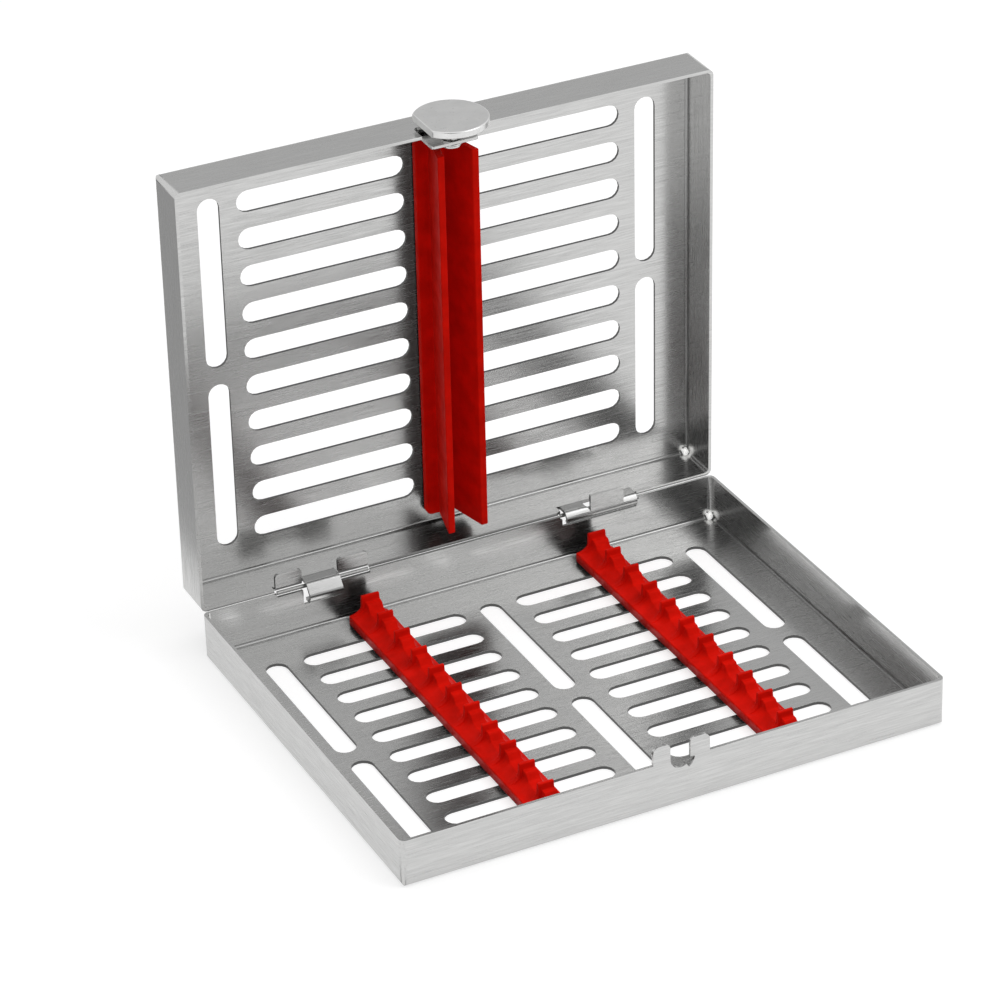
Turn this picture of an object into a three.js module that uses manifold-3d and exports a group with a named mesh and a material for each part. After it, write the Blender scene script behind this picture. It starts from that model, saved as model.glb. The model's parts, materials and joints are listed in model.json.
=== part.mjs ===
// Sterilization box for dental hand instruments, standing open: a shallow slotted steel base, an
// equal lid hooked over two hinge rods at the back, two toothed silicone combs that keep the
// instruments apart, a silicone channel that holds them down when the lid closes, and a cam latch.
// Millimetres, +Z up, +X to the right, -Y the front. The origin is on the underside of the base, on
// the land between its middle slots.
// The lid and its latch are drawn closed, then turned open about the hinge axis as one group.

import * as THREE from 'three';
import { mergeVertices } from 'three/addons/utils/BufferGeometryUtils.js';
import Module from 'manifold-3d';

const wasm = await Module();
wasm.setup();

// Overall sizes
const WIDTH = 180;
const DEPTH = 144.5;
const BASE_HEIGHT = 16;
const LID_HEIGHT = 15.9;
const SHEET = 1;
const BEND = 2;
const CORNER = 2;
const WELD_RADIUS = 1.7;
const WELD_INSET = 0.5;
const GAP = 0.3;
const OVERSHOOT = 1;

const FRONT = -DEPTH / 2;
const BACK = DEPTH / 2;
const LID_RIM = BASE_HEIGHT + GAP;
const LID_TOP = LID_RIM + LID_HEIGHT;

// Slots, the same pattern in both trays, a little further forward in the base
const SLOT_WIDTH = 7.2;
const ROW_COUNT = 10;
const ROW_PITCH = 12.57;
const COLUMN_INNER = 9.1;
const COLUMN_OUTER = 64.7;
const SIDE_SLOT_X = 73.8;
const SIDE_SLOT_LENGTH = 57.4;
const SIDE_SLOT_GAP = 5.8;
const BASE_SLOT_SHIFT = -3.5;

// Hinge
const OPEN_ANGLE = 88.7;
const AXIS_Y = BACK;
const AXIS_Z = BASE_HEIGHT - 0.15;
const ROD_RADIUS = 0.68;
const HINGE_BEND = 1.1;
const FLANGE_REACH = 6.2;
const FLANGE_ROOT = 2.5;
const FLANGE_CORNER = 1.2;
const RELIEF = 0.45;
const TAB_ROOT = 4.2;
const LEFT_ROD = [-64.7, -33.3];
const LEFT_FLANGES = [[-64.8, -55.8], [-43.4, -33.2]];
const LEFT_TAB = [-55.3, -43.9];
const LEFT_NOTCH = { from: -56.1, to: -43.1, depth: 6.2 };
const RIGHT_ROD = [34.4, 62.2];
const RIGHT_TAB = [35.6, 61.1];
const RIGHT_NOTCH = { from: 34.9, to: 61.8, depth: 3.6 };
const TONGUE = [44.2, 56.1];
const TONGUE_REACH = 6.2;
const TONGUE_HEEL = -0.1;
const WINDOW = { from: 43, to: 57.3, low: -1.8, high: 3.4, corner: 1.2 };
const NOTCH_CORNER = 0.6;

// Centre lines of the lid's hinge tabs, seen from the side: distance behind the axis, height above
// it and bend radius, with the lid closed
const HOOK_LINE = [
  [-SHEET / 2, TAB_ROOT],
  [-SHEET / 2, 3.6, 1],
  [-1.5, 2.2, 1],
  [-1.5, -1.5, 1.2],
  [1.7, -4.2, 1.2],
  [3.9, -3.9, 1.1],
  [4.2, -0.8],
];
const LATCHET_LINE = [
  [-SHEET / 2, TAB_ROOT],
  [-SHEET / 2, 3.6, 1],
  [-1.5, 2.2, 1],
  [-1.5, -1.3, 1.2],
  [0.3, -2.75, 1],
  [1.6, -2],
];

// Front latch
const LATCH_X = 0;
const LATCH_Z = 16.2;
const EAR_TOP = BASE_HEIGHT + 6;
const EAR_OUTER_CORNER = 2.2;
const EAR_INNER_CORNER = 1.5;
const LEFT_EAR = [-3.3, -9];
const RIGHT_EAR = [3.3, 9.8];
const SHAFT_CLEARANCE = 3.3;
const CATCH_RADIUS = 4.8;
const CATCH_ARC = [-8, -54];
const SHAFT_RADIUS = 3;
const SHAFT_SHOULDER = 1.9;
const NECK_RADIUS = 2.2;
const PLATE_BORE = 2.5;
const WASHER_RADIUS = 3.4;
const WASHER_FROM = 3.5;
const WASHER_TO = 4;
const HEAD_RADIUS = 2.9;
const HEAD_TO = 4.8;
const CAM_RADIUS = 4.5;
const CAM_ARC = [76, 50];
const CAM_FROM = -0.2;
const CAM_TO = 1.4;
const KNOB_RADIUS = 11.8;
const KNOB_FLAT = 9.5;
const KNOB_TOP = -4.8;
const KNOB_UNDERSIDE = -2.4;
const KNOB_EDGE = 0.3;
const PLATE = [-8.2, 7.5];
const PLATE_LINE = [[2, 29.6], [2, 24.4, 1], [2.7, 23.2, 1], [2.7, 12.5]];
const PLATE_CORNER = 1;
const CUTOUT = { from: -9.6, to: 10.4, height: 6.6, corner: 1.6 };

// Silicone combs in the base
const COMB_XS = { left: -36.2, right: 44 };
const COMB_BOTTOM = SHEET + GAP;
const COMB_CREST = 10.5;
const COMB_FOOT_HALF = 6.7;
const COMB_FOOT_HEIGHT = 2.9;
const COMB_CREST_HALF = 2.5;
const COMB_WAIST_HALF = 3.2;
const COMB_WAIST_RISE = 1;
const COMB_BACK = 66.85;
const COMB_FRONT = -63.25;
const TOOTH_COUNT = 11;
const TOOTH_PITCH = 12.25;
const TOOTH_SHOULDER = 1.5;
const VALLEY_RADIUS = 4.15;
const STUD_LENGTH = 7;
const STUD_ROWS = [1, 3, 5, 7];

// Silicone channel in the lid
const CHANNEL_X = 1.6;
const CHANNEL_FRONT = FRONT + 7.5;
const CHANNEL_BACK = FRONT + 139.5;
const CHANNEL_FOOT = LID_TOP - SHEET - GAP;
const CHANNEL_FOOT_HALF = 8;
const CHANNEL_FOOT_THICK = 2.3;
const CHANNEL_FOOT_CORNER = 2;
const CHANNEL_HEIGHT = 16;
const LEG_THICK = 2.3;
const LEG_ROOT_HALF = 3.7;
const LEG_TIP_HALF = 6.95;

const ARC_STEPS = 5;
const ROUND_STEPS = 4;
const FINE_STEPS = 9;
const TURN_STEPS = 56;
const BEAD_STEPS = 12;
const DEGREE = Math.PI / 180;

const steel = () => new THREE.MeshStandardMaterial({ color: 0xc4c5c3, roughness: 0.34, metalness: 1 });
const polished = () => new THREE.MeshStandardMaterial({ color: 0xcfd0ce, roughness: 0.22, metalness: 1 });
const silicone = () => new THREE.MeshStandardMaterial({ color: 0xb4120c, roughness: 0.5, metalness: 0 });

// Outlines

// Corner points [a, b, radius] with each corner that has a radius turned into points on its arc.
function filleted(points, closed) {
  const count = points.length;
  const at = (i) => new THREE.Vector2(points[(i + count) % count][0], points[(i + count) % count][1]);
  return points.flatMap(([, , radius = 0], i) => {
    const corner = at(i);
    const isEnd = !closed && (i === 0 || i === count - 1);
    if (radius === 0 || isEnd) {
      return [corner];
    }
    const before = at(i - 1).sub(corner).normalize();
    const after = at(i + 1).sub(corner).normalize();
    const half = Math.acos(before.dot(after)) / 2;
    const reach = radius / Math.sin(half);
    const centre = before.clone().add(after).normalize().multiplyScalar(reach).add(corner);
    const sweep = (2 * half - Math.PI) * Math.sign(before.cross(after));
    const start = before.multiplyScalar(radius / Math.tan(half)).add(corner).sub(centre);
    return Array.from({ length: ARC_STEPS + 1 }, (_, k) => (
      start.clone().rotateAround(new THREE.Vector2(), sweep * k / ARC_STEPS).add(centre)
    ));
  });
}

const outline = (points) => new THREE.Shape(filleted(points, true));

function rectangle(left, bottom, right, top, radius = 0) {
  const corners = [[left, bottom], [right, bottom], [right, top], [left, top]];
  return outline(corners.map((corner) => [...corner, radius]));
}

// A slot with full round ends, its length along a or b, whichever is longer.
function stadium(a, b, lengthA, lengthB) {
  const shape = new THREE.Shape();
  const radius = Math.min(lengthA, lengthB) / 2;
  const reachA = lengthA / 2 - radius;
  const reachB = lengthB / 2 - radius;
  const turn = reachA > 0 ? 0 : Math.PI / 2;
  shape.absarc(a + reachA, b + reachB, radius, turn - Math.PI / 2, turn + Math.PI / 2);
  shape.absarc(a - reachA, b - reachB, radius, turn + Math.PI / 2, turn + 3 * Math.PI / 2);
  return shape;
}

function disc(a, b, radius) {
  return new THREE.Shape().absarc(a, b, radius, 0, 2 * Math.PI);
}

function sector(a, b, radius, [from, to]) {
  const shape = new THREE.Shape();
  shape.moveTo(a, b);
  shape.lineTo(a + radius * Math.cos(from * DEGREE), b + radius * Math.sin(from * DEGREE));
  shape.absarc(a, b, radius, from * DEGREE, to * DEGREE, from > to);
  return shape;
}

// A bent strip of sheet seen from its edge, from its centre line.
function strip(line, thickness) {
  const points = filleted(line, false);
  const last = points.length - 1;
  const stretch = (i) => points[i + 1].clone().sub(points[i]).normalize();
  const heading = (i) => stretch(Math.max(i - 1, 0)).add(stretch(Math.min(i, last - 1))).normalize();
  const offset = (side) => points.map((point, i) => {
    const along = heading(i);
    return new THREE.Vector2(point.x - side * along.y, point.y + side * along.x);
  });
  return new THREE.Shape([...offset(thickness / 2), ...offset(-thickness / 2).reverse()]);
}

// Solids

function solid(geometry) {
  geometry.deleteAttribute('normal');
  geometry.deleteAttribute('uv');
  const merged = mergeVertices(geometry, 1e-4);
  const corners = merged.index.array;
  const triVerts = [];
  for (let i = 0; i < corners.length; i += 3) {
    const [a, b, c] = corners.slice(i, i + 3);
    if (a !== b && b !== c && c !== a) {
      triVerts.push(a, b, c);
    }
  }
  return new wasm.Manifold(new wasm.Mesh({
    numProp: 3,
    vertProperties: new Float32Array(merged.attributes.position.array),
    triVerts: new Uint32Array(triVerts),
  }));
}

// An outline pushed along an axis: outlines along x are drawn in y and z, along y in x and z, along
// z in x and y.
function prism(shape, axis, from, to, curveSegments = ROUND_STEPS) {
  const geometry = new THREE.ExtrudeGeometry(shape, { depth: to - from, bevelEnabled: false, curveSegments });
  if (axis === 'y') {
    geometry.translate(0, 0, -to);
    geometry.rotateX(Math.PI / 2);
  } else {
    geometry.translate(0, 0, from);
  }
  if (axis === 'x') {
    const [x, y, z] = [[1, 0, 0], [0, 1, 0], [0, 0, 1]].map((v) => new THREE.Vector3(...v));
    geometry.applyMatrix4(new THREE.Matrix4().makeBasis(y, z, x));
  }
  return solid(geometry);
}

// A profile of [radius, y] points turned about the latch's axis.
function turned(profile) {
  const points = profile.map(([radius, y]) => new THREE.Vector2(radius, y));
  const geometry = new THREE.LatheGeometry(points, TURN_STEPS);
  geometry.translate(LATCH_X, FRONT, LATCH_Z);
  return solid(geometry);
}

const joined = (solids) => solids.reduce((whole, piece) => whole.add(piece));

function mesh(name, shape, material) {
  const { vertProperties, triVerts } = shape.getMesh();
  const geometry = new THREE.BufferGeometry();
  geometry.setAttribute('position', new THREE.BufferAttribute(vertProperties, 3));
  geometry.setIndex(new THREE.BufferAttribute(triVerts, 1));
  const made = new THREE.Mesh(geometry, material);
  made.name = name;
  return made;
}

// Trays

// The space inside a tray's outer faces, or its inner ones when inset by the sheet. The plate is the
// closed side, at the bottom of the base and on top of the lid.
function trayBlock(inset, rim, plate) {
  const inwards = Math.sign(rim - plate);
  const bottom = plate + inwards * inset;
  const top = rim + inwards * inset;
  const bend = BEND - inset;
  const section = (half) => outline([[-half, top], [-half, bottom, bend], [half, bottom, bend], [half, top]]);
  const halfWidth = WIDTH / 2 - inset;
  const halfDepth = DEPTH / 2 - inset;
  const plan = rectangle(-halfWidth, -halfDepth, halfWidth, halfDepth, CORNER - inset / 2);
  return prism(section(halfWidth), 'y', FRONT, BACK)
    .intersect(prism(section(halfDepth), 'x', -WIDTH / 2, WIDTH / 2))
    .intersect(prism(plan, 'z', Math.min(bottom, top), Math.max(bottom, top)));
}

// The weld that closes the seam where two walls meet the plate, at each inner corner.
function cornerWelds(plate, inwards) {
  const places = [-1, 1].flatMap((side) => [-1, 1].map((end) => [side, end]));
  const inset = SHEET + WELD_INSET;
  return places.map(([side, end]) => {
    const bead = new THREE.SphereGeometry(WELD_RADIUS, BEAD_STEPS, BEAD_STEPS / 2);
    bead.translate(side * (WIDTH / 2 - inset), end * (DEPTH / 2 - inset), plate + inwards * inset);
    return solid(bead);
  });
}

function tray(rim, plate) {
  const inwards = Math.sign(rim - plate);
  const outer = trayBlock(0, rim, plate);
  const shell = outer.subtract(trayBlock(SHEET, rim, plate));
  return shell.add(joined(cornerWelds(plate, inwards)).intersect(outer));
}

const rowY = (row, shift) => shift + (row - (ROW_COUNT - 1) / 2) * ROW_PITCH;

function slots(plate, inwards, shift) {
  const from = Math.min(plate - inwards * OVERSHOOT, plate + inwards * (SHEET + OVERSHOOT));
  const cut = (shape) => prism(shape, 'z', from, from + SHEET + 2 * OVERSHOOT);
  const columnX = (COLUMN_INNER + COLUMN_OUTER) / 2;
  const columnLength = COLUMN_OUTER - COLUMN_INNER;
  const sideY = (SIDE_SLOT_LENGTH + SIDE_SLOT_GAP) / 2;
  const rows = Array.from({ length: ROW_COUNT }, (_, row) => rowY(row, shift));
  return joined([
    ...rows.flatMap((y) => [-columnX, columnX].map((x) => cut(stadium(x, y, columnLength, SLOT_WIDTH)))),
    ...[-SIDE_SLOT_X, 0, SIDE_SLOT_X].flatMap((x) => (
      [-sideY, sideY].map((y) => cut(stadium(x, y + shift, SLOT_WIDTH, SIDE_SLOT_LENGTH)))
    )),
  ]);
}

// Base

// An ear that stands on the front wall's edge beside the latch shaft.
function ear([inner, outer]) {
  const root = BASE_HEIGHT - BEND;
  const shape = outline([
    [inner, root],
    [inner, EAR_TOP, EAR_INNER_CORNER],
    [outer, EAR_TOP, EAR_OUTER_CORNER],
    [outer, root],
  ]);
  return prism(shape, 'y', FRONT, FRONT + SHEET);
}

// The space for the latch shaft between the ears, with the catch under the right ear.
function latchMouth() {
  const through = (shape) => prism(shape, 'y', FRONT - OVERSHOOT, FRONT + SHEET + OVERSHOOT, FINE_STEPS);
  const neck = rectangle(-SHAFT_CLEARANCE, LATCH_Z, SHAFT_CLEARANCE, EAR_TOP + OVERSHOOT);
  return joined([
    through(disc(LATCH_X, LATCH_Z, SHAFT_CLEARANCE)),
    through(neck),
    through(sector(LATCH_X, LATCH_Z, CATCH_RADIUS, CATCH_ARC)),
  ]);
}

function hingeNotch({ from, to, depth }) {
  const shape = outline([
    [from, BASE_HEIGHT + OVERSHOOT],
    [from, BASE_HEIGHT - depth, NOTCH_CORNER],
    [to, BASE_HEIGHT - depth, NOTCH_CORNER],
    [to, BASE_HEIGHT + OVERSHOOT],
  ]);
  return prism(shape, 'y', BACK - SHEET - GAP, BACK + OVERSHOOT);
}

// The rim is lowered where a rod lies on it.
function rodSeat([from, to]) {
  const seat = rectangle(from - GAP, AXIS_Z - ROD_RADIUS - GAP, to + GAP, BASE_HEIGHT + OVERSHOOT);
  return prism(seat, 'y', BACK - SHEET - GAP, BACK + OVERSHOOT);
}

function baseTray() {
  return tray(BASE_HEIGHT, 0)
    .add(joined([ear(LEFT_EAR), ear(RIGHT_EAR)]))
    .subtract(latchMouth())
    .subtract(slots(0, 1, BASE_SLOT_SHIFT))
    .subtract(joined([hingeNotch(LEFT_NOTCH), hingeNotch(RIGHT_NOTCH)]))
    .subtract(joined([rodSeat(LEFT_ROD), rodSeat(RIGHT_ROD)]));
}

const hingeRod = ([from, to]) => prism(disc(AXIS_Y, AXIS_Z, ROD_RADIUS), 'x', from, to);

// Teeth seen from the side: a flat crest with a sharp back edge and a round front shoulder, then a
// half-round valley up to the next crest.
function toothOutline() {
  const shape = new THREE.Shape();
  const crestFlat = TOOTH_PITCH - 2 * VALLEY_RADIUS - TOOTH_SHOULDER;
  const dip = Math.asin(TOOTH_SHOULDER / VALLEY_RADIUS);
  const lastCrest = COMB_BACK - (TOOTH_COUNT - 1) * TOOTH_PITCH;
  const lastValley = lastCrest - TOOTH_PITCH + VALLEY_RADIUS;
  const lastAngle = Math.acos((COMB_FRONT - lastValley) / VALLEY_RADIUS);
  shape.moveTo(COMB_BACK, COMB_BOTTOM);
  for (let tooth = 0; tooth < TOOTH_COUNT; tooth += 1) {
    const crestBack = COMB_BACK - tooth * TOOTH_PITCH;
    const shoulderY = crestBack - crestFlat;
    const valleyY = crestBack - TOOTH_PITCH + VALLEY_RADIUS;
    const isLast = tooth === TOOTH_COUNT - 1;
    shape.lineTo(crestBack, COMB_CREST);
    shape.absarc(shoulderY, COMB_CREST - TOOTH_SHOULDER, TOOTH_SHOULDER, Math.PI / 2, Math.PI);
    shape.absarc(valleyY, COMB_CREST, VALLEY_RADIUS, -dip, isLast ? -lastAngle : -Math.PI, true);
  }
  shape.lineTo(COMB_FRONT, COMB_BOTTOM);
  return shape;
}

// The comb's cross-section: an upright foot, then concave flanks up to the narrow crest.
function combSection(x) {
  const footTop = COMB_BOTTOM + COMB_FOOT_HEIGHT;
  const shape = new THREE.Shape();
  const waist = footTop + COMB_WAIST_RISE;
  shape.moveTo(x - COMB_FOOT_HALF, COMB_BOTTOM);
  shape.lineTo(x + COMB_FOOT_HALF, COMB_BOTTOM);
  shape.lineTo(x + COMB_FOOT_HALF, footTop);
  shape.quadraticCurveTo(x + COMB_WAIST_HALF, waist, x + COMB_CREST_HALF, COMB_CREST);
  shape.lineTo(x - COMB_CREST_HALF, COMB_CREST);
  shape.quadraticCurveTo(x - COMB_WAIST_HALF, waist, x - COMB_FOOT_HALF, footTop);
  return shape;
}

// Moulded studs under a silicone strip, a loose fit in the tray's slots.
function comb(x) {
  const studWidth = SLOT_WIDTH - 2 * GAP;
  const studs = STUD_ROWS.map((row) => (
    prism(stadium(x, rowY(row, BASE_SLOT_SHIFT), STUD_LENGTH, studWidth), 'z', GAP, COMB_BOTTOM + GAP)
  ));
  return prism(combSection(x), 'y', COMB_FRONT, COMB_BACK)
    .intersect(prism(toothOutline(), 'x', x - COMB_FOOT_HALF, x + COMB_FOOT_HALF))
    .add(joined(studs));
}

// Lid, drawn closed

const lineFromAxis = (line) => line.map(([behind, above, bend]) => [AXIS_Y + behind, AXIS_Z + above, bend]);

// The lid's front wall is open where the two ears stand when it is closed.
function latchCutout() {
  const { from, to, height, corner } = CUTOUT;
  const shape = outline([
    [from, LID_RIM - OVERSHOOT],
    [from, LID_RIM + height, corner],
    [to, LID_RIM + height, corner],
    [to, LID_RIM - OVERSHOOT],
  ]);
  return prism(shape, 'y', FRONT - OVERSHOOT, FRONT + SHEET + OVERSHOOT);
}

// A flange bent in from the back wall's edge: it stands up when the lid is open.
function hingeFlange([from, to]) {
  const level = LID_RIM + SHEET / 2;
  const line = [
    [BACK - SHEET / 2, AXIS_Z + FLANGE_ROOT],
    [BACK - SHEET / 2, level, HINGE_BEND],
    [BACK - FLANGE_REACH, level],
  ];
  const rounding = outline([
    [from, BACK + OVERSHOOT],
    [from, BACK - FLANGE_REACH, FLANGE_CORNER],
    [to, BACK - FLANGE_REACH, FLANGE_CORNER],
    [to, BACK + OVERSHOOT],
  ]);
  return prism(strip(line, SHEET), 'x', from, to)
    .intersect(prism(rounding, 'z', LID_RIM - OVERSHOOT, LID_TOP));
}

// The lid's back wall cut away from its edge up to a height above the axis.
function wallCut([from, to], relief, height) {
  const cut = rectangle(from - relief, LID_RIM - OVERSHOOT, to + relief, AXIS_Z + height);
  return prism(cut, 'y', BACK - SHEET - GAP, BACK + GAP);
}

// The right tab has a tongue cut from it and bent back in, which leaves a window behind it.
function latchet() {
  const [from, to] = RIGHT_TAB;
  const { low, high, corner } = WINDOW;
  const opening = rectangle(WINDOW.from, AXIS_Z + low, WINDOW.to, AXIS_Z + high, corner);
  const tongueTop = AXIS_Z + low;
  const tongue = rectangle(BACK - TONGUE_REACH, tongueTop - SHEET, BACK + TONGUE_HEEL, tongueTop);
  return prism(strip(lineFromAxis(LATCHET_LINE), SHEET), 'x', from, to)
    .subtract(prism(opening, 'y', BACK - 2 * SHEET - GAP, BACK + 2 * SHEET))
    .add(prism(tongue, 'x', ...TONGUE));
}

function lidTray() {
  const cuts = [
    ...LEFT_FLANGES.map((flange) => wallCut(flange, RELIEF, FLANGE_ROOT)),
    ...[LEFT_TAB, RIGHT_TAB].map((tab) => wallCut(tab, RELIEF, TAB_ROOT)),
    wallCut(RIGHT_ROD, GAP, ROD_RADIUS + GAP),
  ];
  return tray(LID_RIM, LID_TOP)
    .subtract(slots(LID_TOP, -1, 0))
    .subtract(latchCutout())
    .subtract(joined(cuts))
    .add(joined(LEFT_FLANGES.map(hingeFlange)))
    .add(prism(strip(lineFromAxis(HOOK_LINE), SHEET), 'x', ...LEFT_TAB))
    .add(latchet());
}

// The channel's two legs lean outwards from a foot that lies on the lid's plate.
function holdDownChannel() {
  const x = CHANNEL_X;
  const face = CHANNEL_FOOT - CHANNEL_FOOT_THICK;
  const tip = CHANNEL_FOOT - CHANNEL_HEIGHT;
  const [left, right] = [x - CHANNEL_FOOT_HALF, x + CHANNEL_FOOT_HALF];
  const foot = rectangle(left, CHANNEL_FRONT, right, CHANNEL_BACK, CHANNEL_FOOT_CORNER);
  const leg = (side) => {
    const points = [
      [x + side * LEG_ROOT_HALF, face + GAP],
      [x + side * LEG_TIP_HALF, tip],
      [x + side * (LEG_TIP_HALF - LEG_THICK), tip],
      [x + side * (LEG_ROOT_HALF - LEG_THICK), face + GAP],
    ];
    return prism(outline(points), 'y', CHANNEL_FRONT, CHANNEL_BACK);
  };
  const studY = (SIDE_SLOT_LENGTH + SIDE_SLOT_GAP) / 2;
  const studs = [-studY, studY].map((y) => (
    prism(stadium(0, y, SLOT_WIDTH - 2 * GAP, SIDE_SLOT_LENGTH / 2), 'z', CHANNEL_FOOT - GAP, LID_TOP - GAP)
  ));
  return joined([prism(foot, 'z', face, CHANNEL_FOOT), leg(-1), leg(1), ...studs]);
}

function latchPlate() {
  const line = PLATE_LINE.map(([y, z, radius]) => [FRONT + y, z, radius]);
  const [left, right] = PLATE;
  const face = rectangle(left, line.at(-1)[1], right, line[0][1], PLATE_CORNER);
  const through = (shape) => prism(shape, 'y', FRONT, FRONT + HEAD_TO, FINE_STEPS);
  return prism(strip(line, SHEET), 'x', left, right)
    .intersect(through(face))
    .subtract(through(disc(LATCH_X, LATCH_Z, PLATE_BORE)));
}

function latchKnob() {
  const face = turned([
    [0, KNOB_TOP],
    [KNOB_RADIUS - KNOB_EDGE, KNOB_TOP],
    [KNOB_RADIUS, KNOB_TOP + KNOB_EDGE],
    [KNOB_RADIUS, KNOB_UNDERSIDE - KNOB_EDGE],
    [KNOB_RADIUS - KNOB_EDGE, KNOB_UNDERSIDE],
    [0, KNOB_UNDERSIDE],
  ]);
  const left = LATCH_X - 2 * KNOB_RADIUS;
  const flat = rectangle(left, LATCH_Z - KNOB_RADIUS, LATCH_X - KNOB_FLAT, LATCH_Z + KNOB_RADIUS);
  return face.subtract(prism(flat, 'y', FRONT + KNOB_TOP - OVERSHOOT, FRONT));
}

// The shaft turns in the latch plate. Its cam passes down between the ears, then turns under one.
function latchShaft() {
  const cam = sector(LATCH_X, LATCH_Z, CAM_RADIUS, CAM_ARC);
  const from = KNOB_UNDERSIDE + GAP;
  const headFrom = WASHER_TO + GAP;
  return turned([
    [0, from],
    [SHAFT_RADIUS, from],
    [SHAFT_RADIUS, SHAFT_SHOULDER],
    [NECK_RADIUS, SHAFT_SHOULDER],
    [NECK_RADIUS, headFrom],
    [HEAD_RADIUS, headFrom],
    [HEAD_RADIUS, HEAD_TO],
    [0, HEAD_TO],
  ]).add(prism(cam, 'y', FRONT + CAM_FROM, FRONT + CAM_TO, FINE_STEPS));
}

const latchWasher = () => turned([
  [PLATE_BORE, WASHER_FROM],
  [WASHER_RADIUS, WASHER_FROM],
  [WASHER_RADIUS, WASHER_TO],
  [PLATE_BORE, WASHER_TO],
  [PLATE_BORE, WASHER_FROM],
]);

// Assembly

const lid = new THREE.Group();
lid.position.set(0, AXIS_Y, AXIS_Z);
lid.rotation.x = -OPEN_ANGLE * DEGREE;

const drawnClosed = new THREE.Group();
drawnClosed.position.set(0, -AXIS_Y, -AXIS_Z);
drawnClosed.add(
  mesh('lid_tray', lidTray(), steel()),
  mesh('hold_down_channel', holdDownChannel(), silicone()),
  mesh('latch_plate', latchPlate(), steel()),
  mesh('latch_knob', latchKnob(), polished()),
  mesh('latch_shaft', latchShaft(), polished()),
  mesh('latch_washer', latchWasher(), polished()),
);
lid.add(drawnClosed);

const box = new THREE.Group();
box.position.y = -BASE_SLOT_SHIFT;
box.add(
  mesh('base_tray', baseTray(), steel()),
  mesh('hinge_rod_left', hingeRod(LEFT_ROD), polished()),
  mesh('hinge_rod_right', hingeRod(RIGHT_ROD), polished()),
  mesh('comb_left', comb(COMB_XS.left), silicone()),
  mesh('comb_right', comb(COMB_XS.right), silicone()),
  lid,
);

export default box;
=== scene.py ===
"""Looks of the sterilization box: brushed sheet steel, red silicone, welds, latch and a white studio.

Metres, +Z up, +X to the right, -Y the front, as in the frame. The lid stands open.
"""

import json
import math

import bmesh
import bpy
from mathutils import Matrix, Vector, noise


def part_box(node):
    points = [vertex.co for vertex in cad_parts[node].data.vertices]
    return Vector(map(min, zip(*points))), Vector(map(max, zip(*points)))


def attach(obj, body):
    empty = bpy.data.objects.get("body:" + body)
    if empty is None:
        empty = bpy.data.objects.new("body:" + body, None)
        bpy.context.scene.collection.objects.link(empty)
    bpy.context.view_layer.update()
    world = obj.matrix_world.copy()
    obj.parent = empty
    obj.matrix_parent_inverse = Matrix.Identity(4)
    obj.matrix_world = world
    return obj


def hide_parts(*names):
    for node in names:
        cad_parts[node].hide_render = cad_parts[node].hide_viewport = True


bl_info = {
    "name": "Sterilization box",
    "version": (1, 0, 0),
    "blender": (4, 5, 0),
    "location": "3D View > Sidebar > Box",
    "description": "Sheet steel, silicone and latch of an open sterilization box",
    "category": "Object",
}

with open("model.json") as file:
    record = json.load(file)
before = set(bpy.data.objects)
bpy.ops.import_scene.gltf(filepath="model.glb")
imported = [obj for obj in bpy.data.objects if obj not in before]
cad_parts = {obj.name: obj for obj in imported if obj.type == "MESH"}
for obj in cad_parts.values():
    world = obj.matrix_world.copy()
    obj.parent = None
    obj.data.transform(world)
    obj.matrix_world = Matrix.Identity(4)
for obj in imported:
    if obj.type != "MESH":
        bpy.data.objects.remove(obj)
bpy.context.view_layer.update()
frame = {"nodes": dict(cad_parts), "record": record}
MM = 0.001

# Sheet and hinge. The lid's joint goes from open, as photographed, to closed. TAB_REACH is how far
# the hinge tabs reach from the joint's axis, and LID_TOP the height of the closed box.
SHEET = 1 * MM
INNER_BEND = 0.4 * MM
TAB_REACH = 3.6 * MM
LID_TOP = 32.2 * MM
LID_JOINT = frame["record"]["behaviour"]["joints"][0]
LID_OPEN = math.radians(LID_JOINT["range_deg"][1])
HINGE = Vector(LID_JOINT["pos_m"])
LID_OUT = Vector((0, math.sin(LID_OPEN), math.cos(LID_OPEN)))
BASE_OUT = Vector((0, 0, -1))

# Limits that tell faces and edges apart. UPRIGHT and SIDE_FACING are parts of a face's normal: a
# slot's wall has less than UPRIGHT along the plate's own, and a side wall more than SIDE_FACING
# along x. The tab weight is how strongly the hinge tabs take the painted shade of the bends.
MERGE_WITHIN = 0.002 * MM
FLAT_WITHIN = math.radians(0.6)
SHARP_EDGE = math.radians(40)
UPRIGHT = 0.3
SIDE_FACING = 0.7
TAB_SHADE_WEIGHT = 0.8

# The comb, in mm. A fin's height goes from its back towards the next fin, and a flank's from the
# fin's side out to the edge of the foot. The halves are the fin's half widths, along the same way
# as its height, and END_WIDER is added at the right of the first fin. Left and right are as seen
# from the front.
TOOTH_COUNT = 11
TOOTH_PITCH = 12.25
CREST = 10.5
VALLEY = 5.7
FIN = [
    (0, 10.1), (0.1, 10.36), (0.3, 10.49), (0.6, CREST), (0.9, 10.48), (1.1, 10.36), (1.2, 10.1),
    (1.25, 9.6), (1.3, 8.9), (1.36, 8.4), (1.45, 8.25), (1.9, 8.2), (2.6, 8.12), (2.9, 8.0),
    (3.15, 7.75), (3.4, 7.4), (4.2, 6.15), (4.5, 5.9), (5.0, 5.75), (5.6, VALLEY), (8.5, VALLEY),
    (10.6, 5.85), (11.5, 6.2), (11.95, 6.7), (12.15, 7.4), (12.23, 9.6), (TOOTH_PITCH, 10.1),
]
LEFT_HALF = [
    (0, 2.5), (1.25, 2.5), (1.36, 1.6), (3.0, 1.45), (4.6, 1.1), (11.0, 1.9), (12.0, 2.5),
    (TOOTH_PITCH, 2.5),
]
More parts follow.
